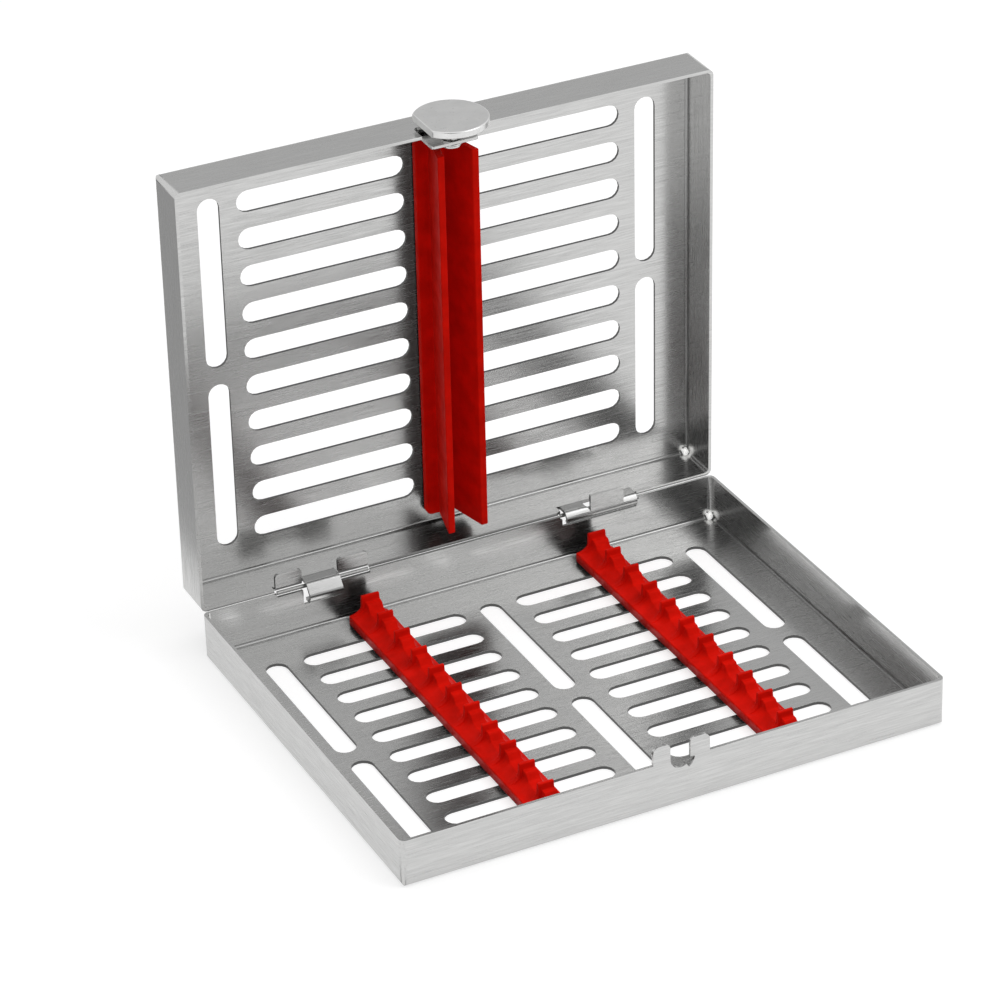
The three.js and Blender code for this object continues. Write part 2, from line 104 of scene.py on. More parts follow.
RIGHT_HALF = [(0, 2.5), (TOOTH_PITCH, 2.5)]
END_WIDER = 0.9
LEFT_FLANK = [
    (0, CREST), (0.14, 6.35), (0.5, 5.6), (1.0, 5.15), (1.7, 4.7), (2.5, 4.35), (3.4, 4.15), (4.2, 4.05),
]
RIGHT_FLANK = [
    (0, CREST), (0.14, 6.1), (0.5, 5.1), (1.0, 4.4), (1.7, 3.7), (2.5, 3.1), (3.4, 2.6), (4.2, 2.4),
]

# The foot's half width, its rolled edge and the part of a quarter round that the roll sinks by. Fin
# and flank run into each other over SKIN_BLEND.
FOOT_HALF = 6.7
FOOT_ROLL = 0.4
ROLL_DEPTH = 0.8
SKIN_BLEND = 0.5
COMB_COLUMNS = [
    0, 0.6, 1.0, 1.3, 1.44, 1.52, 1.6, 1.68, 1.76, 1.86, 2.0, 2.2, 2.36, 2.44, 2.5, 2.57, 2.64, 2.72,
    2.85, 3.05, 3.3, 3.38, 3.46, 3.54, 3.7, 4.1, 4.7, 5.3, 5.9, 6.3, 6.45, 6.58, 6.66, 6.7,
]

# Studs, in mm, in some of the rows of slots under each comb
STUD_ROWS = (1, 3, 5, 7)
STUD_LENGTH = 7
STUD_WIDTH = 6.6
STUD_INTO_COMB = 0.2
ROW_PITCH = 12.57
FIRST_ROW = -4.5 * ROW_PITCH

# A weld bead's centre stands off both walls by a part of its radius, and its lumps rise by a part
# of it. The scale of the lumps is in turns of the noise for each metre.
BEAD_STAND_OFF = 0.7
BEAD_LUMP_SCALE = 1100
BEAD_LUMP_HEIGHT = 0.22

# Tones are factors of a material's colour. A noise mostly stays between NOISE_LOW and NOISE_HIGH,
# and a pair of tones is spread over that. The bend and cut tones are painted shade: they darken the
# tight inner bends, the hinge tabs and the walls of the slots. The silicone's inner light is a painted
# glow, an even faint red light that it gives off in place of light scattered in it.
NOISE_LOW, NOISE_HIGH = 0.3, 0.7
STROKE_TONES = (0.97, 1.02)
CLOUD_TONES = (0.9, 1.06)
CLOUD_STRETCH = 0.02
BEND_SHADE_TONE = 0.55
CUT_SHADE_TONE = 0.2
CUT_ROUGHNESS = 0.5
SILICONE_GLOW = 0.035

# A lamp has its place, the length of its side, its watts and whether shiny surfaces mirror it. The
# top lamp isn't mirrored, because seen from above it burned out the flat plates.
LAMP_AIM = Vector((0, 0, 0.05))
LAMPS = {
    "top_lamp": ((0.1, 0.1, 1.3), 1.2, 6.5, False),
    "right_lamp": ((0.9, -0.75, 1.1), 0.85, 5.5, True),
}

# A card has its centre, the way it faces, its two sides and its tone. The dark card stands behind
# the camera, so it has only the last two.
CARDS = {
    "grey_card_back": ((0.75, 1.2, 0.8), (-0.5, -0.8, -0.4), (1.5, 0.9), 0.6),
    # The left grey card lies on the floor and only the steel mirrors it: painted shade of the floor beside
    # the box.
    "grey_card_left": ((-0.31, 0.33, 0.001), (0, 0, 1), (0.4, 0.5), 0.42),
}
DARK_CARD = ((0.75, 0.6), 0.035)

# ROOM_LIGHT is how strongly the white room lights the box, and FLOOR_LIFT what makes the floor
# show as white.
ROOM_LIGHT = 0.5
FLOOR_LIFT = 0.62
FLOOR_SIDE = 12.0


# Sizes and colours


class SteelSettings(bpy.types.PropertyGroup):
    """Finish of the sheet and the turned pieces."""

    sheet_colour: bpy.props.FloatVectorProperty(
        name="Sheet", description="Reflected colour of the brushed sheet",
        subtype="COLOR", default=(0.57, 0.57, 0.565), min=0, max=1,
    )
    polished_colour: bpy.props.FloatVectorProperty(
        name="Polished", description="Reflected colour of the turned pieces of the latch",
        subtype="COLOR", default=(0.66, 0.66, 0.655), min=0, max=1,
    )
    rod_colour: bpy.props.FloatVectorProperty(
        name="Rods", description="Reflected colour of the drawn hinge rods",
        subtype="COLOR", default=(0.36, 0.36, 0.355), min=0, max=1,
    )
    edge_width: bpy.props.FloatProperty(
        name="Edge", description="Width of the rounding on each cut edge of the sheet",
        unit="LENGTH", default=0.14 * MM, min=0, max=1 * MM, precision=5,
    )
    streak_length: bpy.props.FloatProperty(
        name="Streak", description="Length of one stroke of the brushed grain",
        unit="LENGTH", default=16 * MM, min=1 * MM, max=100 * MM, precision=4,
    )
    streak_width: bpy.props.FloatProperty(
        name="Streak width", description="Width of one stroke of the brushed grain",
        unit="LENGTH", default=0.32 * MM, min=0.05 * MM, max=5 * MM, precision=5,
    )
    bead_radius: bpy.props.FloatProperty(
        name="Weld bead", description="Radius of the weld bead in each inner corner",
        unit="LENGTH", default=1.3 * MM, min=0.5 * MM, max=3 * MM, precision=5,
    )


class SiliconeSettings(bpy.types.PropertyGroup):
    """Colours of the silicone and the rounding of the channel."""

    colour: bpy.props.FloatVectorProperty(
        name="Colour", description="Colour of the moulded silicone",
        subtype="COLOR", default=(0.66, 0.006, 0.002), min=0, max=1,
    )
    # A painted reflection: in the steel's mirror the silicone shows this dark grey instead of its red.
    painted_mirror_colour: bpy.props.FloatVectorProperty(
        name="In steel", description="Colour that the silicone has where the steel mirrors it",
        subtype="COLOR", default=(0.085, 0.074, 0.072), min=0, max=1,
    )
    edge_width: bpy.props.FloatProperty(
        name="Edge", description="Width of the rounding on the moulded edges of the channel",
        unit="LENGTH", default=0.42 * MM, min=0, max=1 * MM, precision=5,
    )


class StudioSettings(bpy.types.PropertyGroup):
    """Where the camera stands and what it looks at."""

    azimuth: bpy.props.FloatProperty(
        name="Azimuth", description="Where the camera stands round the box",
        subtype="ANGLE", default=math.radians(-25.427),
    )
    elevation: bpy.props.FloatProperty(
        name="Elevation", description="Height of the camera above the floor, as an angle",
        subtype="ANGLE", default=math.radians(29.378),
    )
    roll: bpy.props.FloatProperty(
        name="Roll", description="Turn of the camera about its line of sight",
        subtype="ANGLE", default=math.radians(-1.976),
    )
    distance: bpy.props.FloatProperty(
        name="Distance", description="From the camera to the point it looks at",
        unit="LENGTH", default=1268.188 * MM, min=0.1,
    )
    target: bpy.props.FloatVectorProperty(
        name="Target", description="Point that the camera looks at",
        subtype="TRANSLATION", default=(-19.542 * MM, 6.367 * MM, 70.833 * MM), precision=5,
    )
    lens: bpy.props.FloatProperty(
        name="Lens", description="Focal length in millimetres",
        subtype="DISTANCE_CAMERA", default=153.886, min=10,
    )


# Meshes


def mesh_object(name, mesh, material):
    """Puts a bmesh in the scene as an object of one material."""
    data = bpy.data.meshes.new(name)
    mesh.to_mesh(data)
    mesh.free()
    data.materials.append(material)
    made = bpy.data.objects.new(name, data)
    bpy.context.scene.collection.objects.link(made)
    return made


def finish_piece(name, mesh, body, nodes, material):
    """Makes a piece of a bmesh, which rides on a body and stands for frame nodes."""
    piece = mesh_object(name, mesh, material)
    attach(piece, body)
    if nodes:
        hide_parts(*nodes)
    return piece


def only(kind, geometry):
    """The items of one kind among those that a bmesh operator made."""
    return [item for item in geometry if isinstance(item, kind)]


def smooth(mesh):
    """Shades every face of a bmesh smooth."""
    for face in mesh.faces:
        face.smooth = True


def merged_node(node):
    """A bmesh of a frame node with its loose triangles merged into whole faces."""
    mesh = bmesh.new()
    mesh.from_mesh(frame["nodes"][node].data)
    bmesh.ops.remove_doubles(mesh, verts=mesh.verts, dist=MERGE_WITHIN)
    bmesh.ops.dissolve_limit(
        mesh, angle_limit=FLAT_WITHIN, verts=mesh.verts, edges=mesh.edges, delimit=set()
    )
    return mesh


def round_edges(mesh, width, segments=2):
    """Bevels the sharp edges, and marks the new faces as polished."""
    polished = mesh.faces.layers.float.new("polished")
    edges = [e for e in mesh.edges if e.is_manifold and e.calc_face_angle() > SHARP_EDGE]
    made = bmesh.ops.bevel(
        mesh, geom=edges, offset=width, offset_type="OFFSET", affect="EDGES",
        segments=segments, profile=0.5, material=-1, clamp_overlap=True,
    )
    for face in made["faces"]:
        face[polished] = 1.0
    smooth(mesh)


def mark_bend_shade(mesh):
    """Marks where shade is painted: the narrow faces of the tight inner bends and, more faintly, the hinge
    tabs.
    """
    bend_shade = mesh.faces.layers.float.new("bend_shade")
    polished = mesh.faces.layers.float["polished"]
    for face in mesh.faces:
        width = face.calc_area() / max(edge.calc_length() for edge in face.edges)
        if width < INNER_BEND and face[polished] < 0.5:
            face[bend_shade] = 1.0
        if (face.calc_center_median() - HINGE).yz.length < TAB_REACH:
            face[bend_shade] = TAB_SHADE_WEIGHT


def mark_cut_walls(mesh, outwards):
    """Marks the walls of the slots punched through the plate that faces outwards, for painted shade and a
    rougher finish.
    """
    cut = mesh.faces.layers.float.new("cut")
    deepest = max(v.co.dot(outwards) for v in mesh.verts)
    for face in mesh.faces:
        in_plate = face.calc_center_median().dot(outwards) > deepest - SHEET
        if in_plate and abs(face.normal.dot(outwards)) < UPRIGHT:
            face[cut] = 1.0


def weighted(piece):
    """Shades flat faces flat and lets only the rounded edges turn."""
    modifier = piece.modifiers.new("weighted", "WEIGHTED_NORMAL")
    modifier.mode = "FACE_AREA"
    modifier.weight = 80
    modifier.keep_sharp = True


# Node trees


def fill(tree, node, inputs):
    """Sets each named input of a node to a value, or joins it to a socket."""
    for name, value in inputs.items():
        if isinstance(value, bpy.types.NodeSocket):
            tree.links.new(value, node.inputs[name])
        else:
            node.inputs[name].default_value = value


def place(tree, kind, settings=None, inputs=None):
    """A new node with its settings and its inputs."""
    made = tree.nodes.new(kind)
    for name, value in (settings or {}).items():
        setattr(made, name, value)
    fill(tree, made, inputs or {})
    return made


def calculate(tree, operation, *values, kind="ShaderNodeMath"):
    """The result of a math node, or of a vector math node."""
    return place(tree, kind, {"operation": operation}, dict(enumerate(values))).outputs[0]


def blend(tree, factor, low, high):
    """A value between two others."""
    made = place(tree, "ShaderNodeMix", {"data_type": "FLOAT"}, {"Factor": factor, 2: low, 3: high})
    return made.outputs[0]


def noise_value(tree, where, scale, detail):
    """The value of a noise texture at a place."""
    made = place(
        tree, "ShaderNodeTexNoise", inputs={"Vector": where, "Scale": scale, "Detail": detail}
    )
    return made.outputs["Fac"]


def bump(tree, height, strength, distance):
    """The normal of a surface that a height makes uneven."""
    made = place(
        tree, "ShaderNodeBump", inputs={"Strength": strength, "Distance": distance, "Height": height}
    )
    return made.outputs["Normal"]


def remap(tree, value, low, high, start=NOISE_LOW, end=NOISE_HIGH):
    """A value from a noise spread over a new range."""
    made = place(
        tree, "ShaderNodeMapRange",
        inputs={"Value": value, "From Min": start, "From Max": end, "To Min": low, "To Max": high},
    )
    return made.outputs["Result"]


def shade(tree, colour, factor):
    """A colour made lighter or darker by a value near 1."""
    made = place(
        tree, "ShaderNodeMix", {"data_type": "RGBA", "blend_type": "MULTIPLY"},
        {"Factor": 1.0, 6: (*colour, 1.0), 7: factor},
    )
    return made.outputs[2]


def group(name, inputs, outputs):
    """An empty shader group with its sockets."""
    tree = bpy.data.node_groups.new(name, "ShaderNodeTree")
    for label, kind, default in inputs:
        socket = tree.interface.new_socket(label, in_out="INPUT", socket_type=kind)
        socket.default_value = default
    for label in outputs:
        tree.interface.new_socket(label, in_out="OUTPUT", socket_type="NodeSocketFloat")
    return tree, tree.nodes.new("NodeGroupInput"), tree.nodes.new("NodeGroupOutput")


def brushed_grain():
    """Fine strokes along each wall and cloudy polishing marks, in the piece's own coordinates."""
    if "Brushed Grain" in bpy.data.node_groups:
        return bpy.data.node_groups["Brushed Grain"]
    tree, given, out = group(
        "Brushed Grain",
        [
            ("Across", "NodeSocketVector", (60, 3000, 3000)),
            ("Side", "NodeSocketVector", (3000, 60, 3000)),
            ("Cloud Size", "NodeSocketFloat", 40.0),
        ],
        ["Grain", "Cloud"],
    )
    where = place(tree, "ShaderNodeTexCoord")
    facing = place(tree, "ShaderNodeSeparateXYZ", inputs={"Vector": where.outputs["Normal"]})
    size = calculate(tree, "ABSOLUTE", facing.outputs["X"])
    scale = place(
        tree, "ShaderNodeMix", {"data_type": "VECTOR"},
        {
            "Factor": calculate(tree, "GREATER_THAN", size, SIDE_FACING),
            4: given.outputs["Across"], 5: given.outputs["Side"],
        },
    )
    vectors = "ShaderNodeVectorMath"
    stretched = calculate(tree, "MULTIPLY", where.outputs["Object"], scale.outputs[1], kind=vectors)
    squeezed = calculate(tree, "MULTIPLY", stretched, (CLOUD_STRETCH,) * 3, kind=vectors)
    spread = calculate(tree, "ADD", squeezed, where.outputs["Object"], kind=vectors)
    fill(tree, out, {
        "Grain": noise_value(tree, stretched, 1.0, 3.0),
        "Cloud": noise_value(tree, spread, given.outputs["Cloud Size"], 2.0),
    })
    return tree


def moulded_skin():
    """Uneven gloss and faint dust of a moulded surface."""
    if "Moulded Skin" in bpy.data.node_groups:
        return bpy.data.node_groups["Moulded Skin"]
    tree, given, out = group(
        "Moulded Skin",
        [("Patch Size", "NodeSocketFloat", 160.0), ("Dust Size", "NodeSocketFloat", 2600.0)],
        ["Patch", "Dust"],
    )
    where = place(tree, "ShaderNodeTexCoord").outputs["Object"]
    fill(tree, out, {
        "Patch": noise_value(tree, where, given.outputs["Patch Size"], 3.0),
        "Dust": noise_value(tree, where, given.outputs["Dust Size"], 2.0),
    })
    return tree


def new_material(name):
    """A new material with its node tree and its main shader."""
    material = bpy.data.materials.new(name)
    material.use_nodes = True
    return material, material.node_tree, material.node_tree.nodes["Principled BSDF"]


def steel_material(name, colour, side_axis, rough, edge_rough):
    """Brushed steel whose grain runs along x, and on the side walls along their own length.

    The sheet is as rough as the pair says, from least to most, and its rounded edges as edge_rough.
    """
    if name in bpy.data.materials:
        return bpy.data.materials[name]
    settings = bpy.context.scene.box_steel
    material, tree, shader = new_material(name)
    long, fine = 1 / settings.streak_length, 1 / settings.streak_width
    side = [fine, fine, fine]
    side[side_axis] = long
    grain = place(
        tree, "ShaderNodeGroup", {"node_tree": brushed_grain()},
        {"Across": (long, fine, fine), "Side": side, "Cloud Size": 45.0},
    )
    polished, cut, bend_shade = (
        place(tree, "ShaderNodeAttribute", {"attribute_name": mark}).outputs["Fac"]
        for mark in ("polished", "cut", "bend_shade")
    )
    strokes = remap(tree, grain.outputs["Grain"], *STROKE_TONES)
    clouds = remap(tree, grain.outputs["Cloud"], *CLOUD_TONES)
    tone = calculate(tree, "MULTIPLY", strokes, clouds)
    # Painted shade: the marked bends and hinge tabs are darkened towards the bend tone.
    shaded_bends = blend(tree, bend_shade, tone, BEND_SHADE_TONE)
    # Painted shade: the walls of the slots are darkened towards the cut tone.
    shaded_cuts = blend(tree, cut, shaded_bends, CUT_SHADE_TONE)
    least, most = rough
    sheet_rough = remap(tree, grain.outputs["Cloud"], most, least)
    mixed = blend(tree, polished, sheet_rough, edge_rough)
    fill(tree, shader, {
        "Base Color": shade(tree, colour, shaded_cuts),
        "Roughness": blend(tree, cut, mixed, CUT_ROUGHNESS),
        "Normal": bump(tree, grain.outputs["Grain"], 0.045, 0.02 * MM),
        "Metallic": 1.0,
    })
    return material


def sheet_steel(name, side_axis):
    """The trays' steel. The grain of a side wall runs along the axis of that number."""
    colour = bpy.context.scene.box_steel.sheet_colour
    return steel_material(name, colour, side_axis, (0.17, 0.29), 0.14)


def polished_steel():
    """The steel of the latch's shaft and washer."""
    colour = bpy.context.scene.box_steel.polished_colour
    return steel_material("bright_steel", colour, 1, (0.16, 0.26), 0.12)


def rod_steel():
    """The darker drawn steel of the hinge rods."""
    return steel_material("rod_steel", bpy.context.scene.box_steel.rod_colour, 1, (0.24, 0.34), 0.2)


def weld_steel_glowing():
    """Lumpy weld metal, made bright by a painted glow."""
    if "weld_steel_glowing" in bpy.data.materials:
        return bpy.data.materials["weld_steel_glowing"]
    material, tree, shader = new_material("weld_steel_glowing")
    skin = place(
        tree, "ShaderNodeGroup", {"node_tree": moulded_skin()}, {"Patch Size": 900.0, "Dust Size": 2200.0}
    )
    tone = remap(tree, skin.outputs["Patch"], 0.82, 1.1)
    fill(tree, shader, {
        "Base Color": shade(tree, (0.97, 0.97, 0.96), tone),
        "Roughness": remap(tree, skin.outputs["Dust"], 0.5, 0.3),
        # A painted glow: the weld gives off light of its own, as a painted highlight.
        "Emission Color": (1.0, 1.0, 0.98, 1.0),
        "Emission Strength": 0.5,
        "Normal": bump(tree, skin.outputs["Patch"], 0.6, 0.12 * MM),
        "Metallic": 0.8,
    })
    return material


def knob_steel():
    """Matt face of the latch's disc, with a few dull specks."""
    if "knob_steel" in bpy.data.materials:
        return bpy.data.materials["knob_steel"]
    material, tree, shader = new_material("knob_steel")
    skin = place(
        tree, "ShaderNodeGroup", {"node_tree": moulded_skin()}, {"Patch Size": 140.0, "Dust Size": 900.0}
    )
    clouds = remap(tree, skin.outputs["Patch"], *CLOUD_TONES)
    specks = remap(tree, skin.outputs["Dust"], 1.0, 0.86, start=0.66, end=0.72)
    tone = calculate(tree, "MULTIPLY", clouds, specks)
    fill(tree, shader, {
        "Base Color": shade(tree, (0.73, 0.73, 0.725), tone),
        "Roughness": remap(tree, skin.outputs["Patch"], 0.34, 0.26),
        "Metallic": 1.0,
    })
    return material


def silicone():
    """Red moulded silicone with a satin skin, painted dark grey where the steel mirrors it as a painted
    reflection.
    """
    if "moulded_silicone" in bpy.data.materials:
        return bpy.data.materials["moulded_silicone"]
    settings = bpy.context.scene.box_silicone
    material, tree, shader = new_material("moulded_silicone")
    skin = place(tree, "ShaderNodeGroup", {"node_tree": moulded_skin()})
    tone = remap(tree, skin.outputs["Patch"], 0.78, 1.12)
    in_mirror = place(tree, "ShaderNodeLightPath").outputs["Is Glossy Ray"]
    # Painted reflection: rays that the steel mirrors see the silicone in a dark grey.
    mirror_painted_colour = place(
        tree, "ShaderNodeMix", {"data_type": "RGBA"},
        {"Factor": in_mirror, 6: shade(tree, settings.colour, tone), 7: (*settings.painted_mirror_colour, 1.0)},
    )
    fill(tree, shader, {
        "Base Color": mirror_painted_colour.outputs[2],
        # A painted glow: away from mirrors the silicone gives off a faint red light of its own.
        "Emission Strength": calculate(tree, "MULTIPLY_ADD", in_mirror, -SILICONE_GLOW, SILICONE_GLOW),
        "Emission Color": (1.0, 0.015, 0.01, 1.0),
        "Roughness": remap(tree, skin.outputs["Patch"], 0.55, 0.4),
        "Normal": bump(tree, skin.outputs["Dust"], 0.15, 0.05 * MM),
        "IOR": 1.15,
        "Specular Tint": (1.0, 0.3, 0.22, 1.0),
    })
    return material


# Operators


class BOX_OT_base_tray(bpy.types.Operator):
    """Sheet steel base with rounded cut edges"""

    bl_idname = "box.base_tray"
    bl_label = "Base tray"

    def execute(self, context):
        settings = context.scene.box_steel
        mesh = merged_node("base_tray")
        round_edges(mesh, settings.edge_width)
        mark_cut_walls(mesh, BASE_OUT)
        mark_bend_shade(mesh)
        sheet = sheet_steel("base_sheet_steel", 1)
        piece = finish_piece("base_sheet", mesh, "base", ["base_tray"], sheet)
        weighted(piece)
        return {"FINISHED"}


class BOX_OT_lid_tray(bpy.types.Operator):
    """Sheet steel lid with its hinge tabs, standing open, and the plate of its latch"""

    bl_idname = "box.lid_tray"
    bl_label = "Lid tray"

    def execute(self, context):
        settings = context.scene.box_steel
        sheet = sheet_steel("lid_sheet_steel", 2)
        for name, node in (("lid_sheet", "lid_tray"), ("latch_plate_sheet", "latch_plate")):
            mesh = merged_node(node)
            round_edges(mesh, settings.edge_width)
            if node == "lid_tray":
                mark_cut_walls(mesh, LID_OUT)
                mark_bend_shade(mesh)
            piece = finish_piece(name, mesh, "lid", [node], sheet)
            weighted(piece)
        return {"FINISHED"}


class BOX_OT_turned_pieces(bpy.types.Operator):
    """Hinge rods and the turned pieces of the latch"""

    bl_idname = "box.turned_pieces"
    bl_label = "Rods and latch"

    def execute(self, context):
        settings = context.scene.box_steel
        pieces = {
            "base": ["hinge_rod_left", "hinge_rod_right"],
            "latch": ["latch_knob", "latch_shaft", "latch_washer"],
        }
        steels = {"latch_knob": knob_steel, "hinge_rod_left": rod_steel, "hinge_rod_right": rod_steel}
        for body, nodes in pieces.items():
            for node in nodes:
                mesh = merged_node(node)
                round_edges(mesh, settings.edge_width)
                steel = steels.get(node, polished_steel)()
                piece = finish_piece(f"{node}_steel", mesh, body, [node], steel)
                weighted(piece)
        return {"FINISHED"}


class BOX_OT_welds(bpy.types.Operator):
    """Weld beads in the inner corners of both trays"""

    bl_idname = "box.welds"
    bl_label = "Weld beads"

    def execute(self, context):
        radius = context.scene.box_steel.bead_radius
        low, high = (Vector(corner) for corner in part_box("base_tray"))
        inset = SHEET + BEAD_STAND_OFF * radius
        corners = [
            Vector((x, y, inset))
            for x in (low.x + inset, high.x - inset) for y in (low.y + inset, high.y - inset)
        ]
        # The lid's beads mirror the base's in the closed box, and are then swung open with the lid.
        turned_up = Matrix.Rotation(-LID_OPEN, 4, "X")
        beads = {
            "base": corners,
            "lid": [HINGE + turned_up @ (Vector((c.x, c.y, LID_TOP - c.z)) - HINGE) for c in corners],
        }
        for body, places in beads.items():
            mesh = bmesh.new()
            for number, centre in enumerate(places):
                made = bmesh.ops.create_icosphere(
                    mesh, subdivisions=3, radius=radius, matrix=Matrix.Translation(centre)
                )
                for vert in made["verts"]:
                    away = vert.co - centre
                    lump = noise.noise(away * BEAD_LUMP_SCALE + Vector((number, 0, 0)))
                    vert.co += away.normalized() * (lump * BEAD_LUMP_HEIGHT * radius)
            smooth(mesh)
            finish_piece(f"{body}_weld_beads", mesh, body, [], weld_steel_glowing())
        return {"FINISHED"}


def at(curve, place_on):
    """Height of a curve of (place, height) points at a place, straight between its points."""
    for (a, low), (b, high) in zip(curve, curve[1:]):
        if place_on <= b:
            return low + (high - low) * (place_on - a) / (b - a)
    return curve[-1][1]


def comb_height(across, behind):
    """Height of the comb's skin, in mm, from places measured off its middle and its back end."""
    along = behind % TOOTH_PITCH
    aside = abs(across)
    half_curve, flank_curve = (RIGHT_HALF, RIGHT_FLANK) if across > 0 else (LEFT_HALF, LEFT_FLANK)
    half = at(half_curve, along)
    if across > 0 and behind < TOOTH_PITCH / 2:
        half += END_WIDER
    fin = at(FIN, along)
    flank = at(flank_curve, max(aside - half, 0))
    spread = max(SKIN_BLEND - abs(fin - flank), 0) / SKIN_BLEND
    height = min(fin, flank) - spread * spread * SKIN_BLEND / 4
    rolled = max(aside - (FOOT_HALF - FOOT_ROLL), 0) / FOOT_ROLL
    return height - FOOT_ROLL * (1 - math.sqrt(1 - min(rolled, 1) ** 2)) * ROLL_DEPTH


def comb_mesh(low, high):
    """A toothed strip: a grid raised to the moulded skin, closed by its sides and its flat foot."""
    middle = (low.x + high.x) / 2
    length = (high.y - low.y) / MM
    columns = sorted({side * x for side in (-1, 1) for x in COMB_COLUMNS})
    rows = sorted({
        min(tooth * TOOTH_PITCH + along, length)
        for tooth in range(TOOTH_COUNT) for along, _ in FIN
        if tooth * TOOTH_PITCH + along <= length + TOOTH_PITCH / 2
    })
    mesh = bmesh.new()
    made = bmesh.ops.create_grid(
        mesh, x_segments=len(columns) - 1, y_segments=len(rows) - 1, size=0.5
    )
    # The grid runs from -0.5 to 0.5, so a vertex's place tells its column and its row.
    for vert in made["verts"]:
        x = columns[round((vert.co.x + 0.5) * (len(columns) - 1))]
        behind = rows[round((0.5 - vert.co.y) * (len(rows) - 1))]
        vert.co = (middle + x * MM, high.y - behind * MM, comb_height(x, behind) * MM)
    rim = [edge for edge in mesh.edges if edge.is_boundary]
    walls = bmesh.ops.extrude_edge_only(mesh, edges=rim)["geom"]
    for vert in only(bmesh.types.BMVert, walls):
        vert.co.z = SHEET
    foot = [edge for edge in only(bmesh.types.BMEdge, walls) if edge.is_boundary]
    bmesh.ops.contextual_create(mesh, geom=foot)
    return mesh


def add_studs(mesh, middle, bottom, top):
    """The moulded studs that hold a comb in the slots under it."""
    for row in STUD_ROWS:
        centre = Vector((middle, (row * ROW_PITCH + FIRST_ROW) * MM, bottom))
        made = bmesh.ops.create_circle(
            mesh, cap_ends=True, segments=32, radius=STUD_WIDTH * MM / 2,
            matrix=Matrix.Translation(centre),
        )
        for vert in made["verts"]:
            vert.co.x += math.copysign((STUD_LENGTH - STUD_WIDTH) * MM / 2, vert.co.x - middle)
        face = made["verts"][0].link_faces[0]
        raised = bmesh.ops.extrude_face_region(mesh, geom=[face])["geom"]
        for vert in only(bmesh.types.BMVert, raised):
            vert.co.z = top


class BOX_OT_silicone(bpy.types.Operator):
    """Toothed combs in the base and the channel in the lid"""

    bl_idname = "box.silicone"
    bl_label = "Silicone"

    def execute(self, context):
        settings = context.scene.box_silicone
        for node in ("comb_left", "comb_right"):
            low, high = (Vector(corner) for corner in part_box(node))
            mesh = comb_mesh(low, high)
            add_studs(mesh, (low.x + high.x) / 2, low.z, low.z + SHEET + STUD_INTO_COMB * MM)
            bmesh.ops.recalc_face_normals(mesh, faces=mesh.faces)
            smooth(mesh)
            piece = finish_piece(f"{node}_silicone", mesh, "base", [node], silicone())
            weighted(piece)
        mesh = merged_node("hold_down_channel")
        round_edges(mesh, settings.edge_width, segments=3)
        piece = finish_piece(
            "hold_down_channel_silicone", mesh, "lid", ["hold_down_channel"], silicone()
        )
        weighted(piece)
        return {"FINISHED"}


def area_lamp(name, place_at, side, power, painted_mirror_colour):
    """A soft square lamp aimed at the box."""
    lamp = bpy.data.lights.new(name, "AREA")
    lamp.shape = "RECTANGLE"
    lamp.size = lamp.size_y = side
    lamp.energy = power
    holder = bpy.data.objects.new(name, lamp)
    holder.location = place_at
    holder.rotation_euler = (LAMP_AIM - Vector(place_at)).to_track_quat("-Z", "Y").to_euler()
    holder.visible_glossy = painted_mirror_colour
    bpy.context.scene.collection.objects.link(holder)


def seen_directly(tree):
    """1 for the rays of the camera and of mirror-like and clear surfaces, and 0 for the rest."""
    path = place(tree, "ShaderNodeLightPath").outputs
    first = calculate(tree, "MAXIMUM", path["Is Camera Ray"], path["Is Glossy Ray"])
    return calculate(tree, "MAXIMUM", first, path["Is Transmission Ray"])


def white_world(scene):
    """An even pale room that shows as white."""
    world = bpy.data.worlds.new("studio")
    scene.world = world
    world.use_nodes = True
    tree = world.node_tree
    shown = calculate(tree, "MULTIPLY", seen_directly(tree), 1 - ROOM_LIGHT)
    strength = calculate(tree, "ADD", shown, ROOM_LIGHT)
    fill(tree, tree.nodes["Background"], {"Color": (1, 1, 1, 1), "Strength": strength})


def square(name, matrix, material):
    """A flat square of one metre, placed and stretched by a matrix."""
    mesh = bmesh.new()
    bmesh.ops.create_grid(mesh, x_segments=1, y_segments=1, size=0.5, matrix=matrix)
    return mesh_object(name, mesh, material)


def card(name, centre, facing, size, tone):
    """A card outside the view that only the shiny surfaces mirror."""
    material, _, shader = new_material(name)
    shader.inputs["Base Color"].default_value = (0, 0, 0, 1)
    shader.inputs["Specular IOR Level"].default_value = 0.0
    shader.inputs["Emission Color"].default_value = (tone, tone, tone, 1)
    shader.inputs["Emission Strength"].default_value = 1.0
    aimed = Vector(facing).to_track_quat("Z", "Y").to_matrix().to_4x4()
    made = square(name, Matrix.Translation(centre) @ aimed @ Matrix.Diagonal((*size, 1, 1)), material)
    made.visible_camera = False
    made.visible_diffuse = False
    made.visible_shadow = False


def white_floor():
    """A floor that shows as white and keeps the soft shadow of the box."""
    material, tree, shader = new_material("floor_paper")
    fill(tree, shader, {
        "Base Color": (0.5, 0.5, 0.5, 1),
        "Roughness": 1.0,
        "Specular IOR Level": 0.0,
        "Emission Color": (1, 1, 1, 1),
        "Emission Strength": calculate(tree, "MULTIPLY", seen_directly(tree), FLOOR_LIFT),
    })
    floor = square("floor", Matrix.Diagonal((FLOOR_SIDE, FLOOR_SIDE, 1, 1)), material)


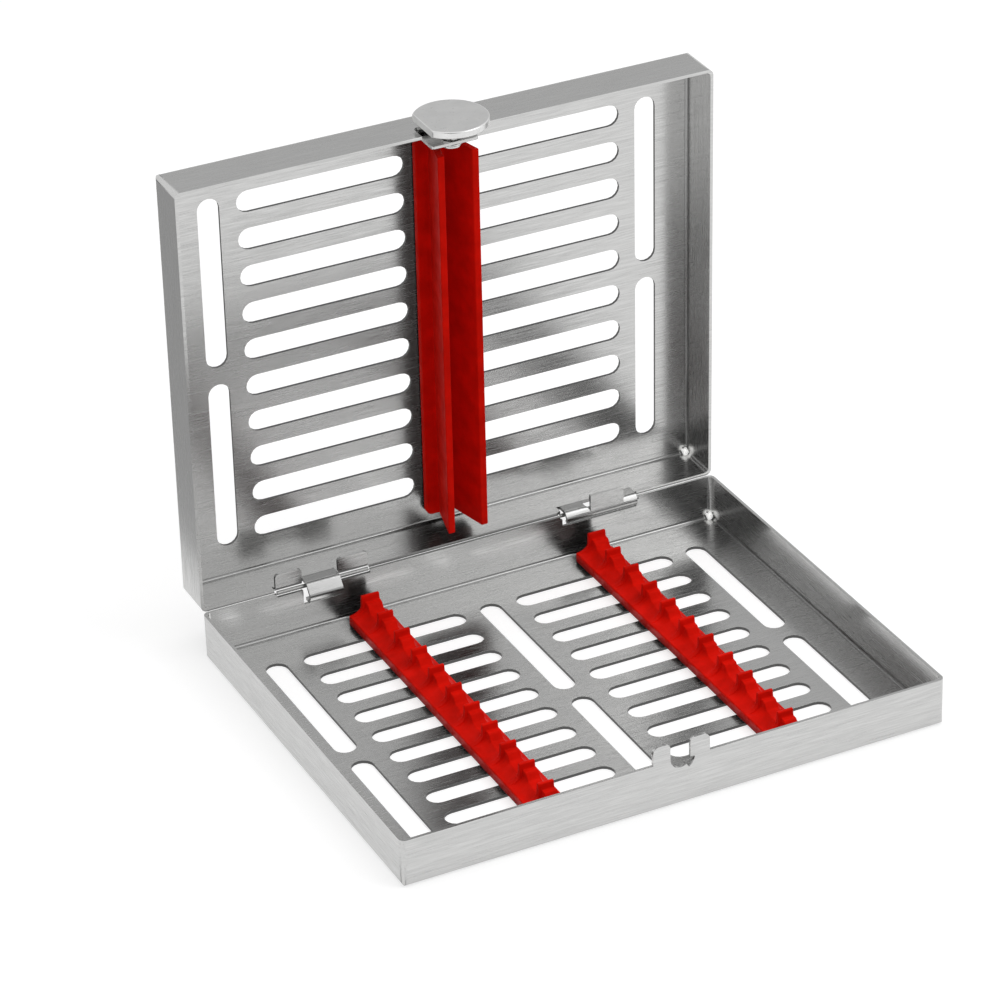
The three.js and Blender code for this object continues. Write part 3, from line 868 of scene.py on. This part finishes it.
class BOX_OT_studio(bpy.types.Operator):
    """Camera, floor, room and lamps"""

    bl_idname = "box.studio"
    bl_label = "Studio"

    def execute(self, context):
        scene = context.scene
        settings = scene.box_studio
        azimuth, elevation = settings.azimuth, settings.elevation
        back = Vector((
            math.sin(azimuth) * math.cos(elevation),
            -math.cos(azimuth) * math.cos(elevation),
            math.sin(elevation),
        ))
        lens = bpy.data.cameras.new("camera")
        lens.lens = settings.lens
        lens.sensor_width = 36.0
        lens.clip_start = 0.05
        camera = bpy.data.objects.new("camera", lens)
        scene.collection.objects.link(camera)
        right = Vector((-back.y, back.x, 0)).normalized()
        up = back.cross(right)
        turned_right = math.cos(settings.roll) * right + math.sin(settings.roll) * up
        turned_up = math.cos(settings.roll) * up - math.sin(settings.roll) * right
        axes = Matrix((turned_right, turned_up, back)).transposed().to_4x4()
        camera.matrix_world = Matrix.Translation(Vector(settings.target) + back * settings.distance) @ axes
        scene.camera = camera
        scene.view_settings.view_transform = "Standard"
        white_world(scene)
        white_floor()
        for name, lamp in LAMPS.items():
            area_lamp(name, *lamp)
        card("room_behind_camera", back, -back, *DARK_CARD)
        for name, sizes in CARDS.items():
            card(name, *sizes)
        return {"FINISHED"}


class BOX_PT_panel(bpy.types.Panel):
    """The steps that build the box, and their sizes and colours"""

    bl_label = "Sterilization box"
    bl_space_type = "VIEW_3D"
    bl_region_type = "UI"
    bl_category = "Box"

    def draw(self, context):
        for group_name in SETTINGS:
            settings = getattr(context.scene, group_name)
            section = self.layout.box()
            for name in settings.__annotations__:
                section.prop(settings, name)
        for step in STEPS:
            self.layout.operator(step.bl_idname)


STEPS = (
    BOX_OT_base_tray,
    BOX_OT_lid_tray,
    BOX_OT_turned_pieces,
    BOX_OT_welds,
    BOX_OT_silicone,
    BOX_OT_studio,
)
SETTINGS = {"box_steel": SteelSettings, "box_silicone": SiliconeSettings, "box_studio": StudioSettings}
CLASSES = (*SETTINGS.values(), *STEPS, BOX_PT_panel)


def register():
    for cls in CLASSES:
        bpy.utils.register_class(cls)
    for name, cls in SETTINGS.items():
        setattr(bpy.types.Scene, name, bpy.props.PointerProperty(type=cls))


def unregister():
    for name in SETTINGS:
        delattr(bpy.types.Scene, name)
    for cls in reversed(CLASSES):
        bpy.utils.unregister_class(cls)


def main():
    register()
    for step in STEPS:
        group_name, operator = step.bl_idname.split(".")
        getattr(getattr(bpy.ops, group_name), operator)()


if __name__ == "__main__":
    main()
